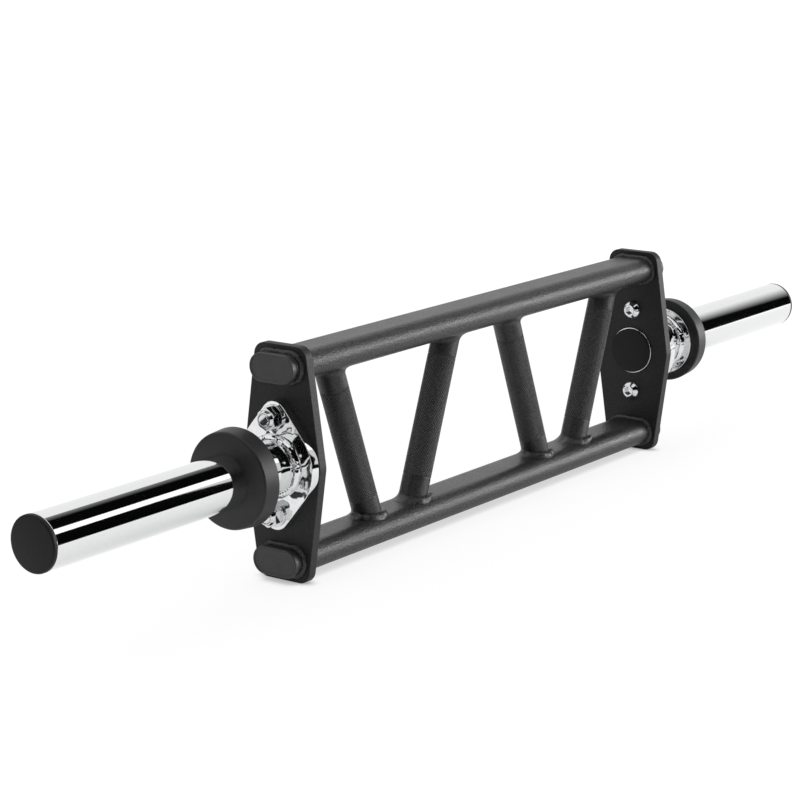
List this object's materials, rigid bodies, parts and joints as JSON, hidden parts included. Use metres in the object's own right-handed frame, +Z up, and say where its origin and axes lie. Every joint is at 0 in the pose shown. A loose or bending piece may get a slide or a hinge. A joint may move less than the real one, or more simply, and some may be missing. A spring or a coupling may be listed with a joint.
{
  "type": "multi-grip barbell",
  "caption": "Short bar with tilted knurled grips between two flat-oval rails, and a chromed loading sleeve bolted to each side plate.",
  "frame": {"origin": "on the ground, under the middle of the bar", "axes": "+X along the bar to its right-hand sleeve, +Y from front to back, +Z up"},
  "size_m": [1.244, 0.092, 0.22],
  "materials": {
    "plate_coat": "satin black powder coat",
    "rail_coat": "satin black powder coat",
    "grip_coat": "diamond knurl under satin black powder coat",
    "weld_coat": "rippled weld bead under satin black powder coat",
    "cap_plastic": "fine moulded texture",
    "sleeve_chrome": "polished hard chrome",
    "flange_chrome": "bright chrome over cut plate",
    "weld_chrome": "bright chrome over a rippled weld bead",
    "ring_rubber": "smooth moulded black rubber",
    "bolt_zinc": "bright zinc plate",
    "insert_nylon": "natural nylon"
  },
  "bodies": {
    "root": {"left_side_plate": "plate_coat", "right_side_plate": "plate_coat", "upper_rail": "rail_coat", "lower_rail": "rail_coat", "left_outer_grip": "grip_coat", "left_inner_grip": "grip_coat", "right_inner_grip": "grip_coat", "right_outer_grip": "grip_coat", "upper_grip_welds": "weld_coat", "lower_grip_welds": "weld_coat", "left_outer_rail_welds": "weld_coat", "left_inner_rail_welds": "weld_coat", "right_outer_rail_welds": "weld_coat", "right_inner_rail_welds": "weld_coat", "upper_left_rail_cap": "cap_plastic", "lower_left_rail_cap": "cap_plastic", "upper_right_rail_cap": "cap_plastic", "lower_right_rail_cap": "cap_plastic", "left_sleeve_tube": "sleeve_chrome", "right_sleeve_tube": "sleeve_chrome", "left_sleeve_flange": "flange_chrome", "right_sleeve_flange": "flange_chrome", "left_flange_weld": "weld_chrome", "right_flange_weld": "weld_chrome", "left_stop_disc": "flange_chrome", "right_stop_disc": "flange_chrome", "left_disc_weld": "weld_chrome", "right_disc_weld": "weld_chrome", "left_stop_ring": "ring_rubber", "right_stop_ring": "ring_rubber", "left_end_cap": "cap_plastic", "right_end_cap": "cap_plastic", "left_inner_cap": "cap_plastic", "right_inner_cap": "cap_plastic", "left_flange_bolts": "bolt_zinc", "right_flange_bolts": "bolt_zinc", "left_washers": "bolt_zinc", "right_washers": "bolt_zinc", "left_lock_nuts": "bolt_zinc", "right_lock_nuts": "bolt_zinc", "left_nut_inserts": "insert_nylon", "right_nut_inserts": "insert_nylon"}
  },
  "joints": []
}
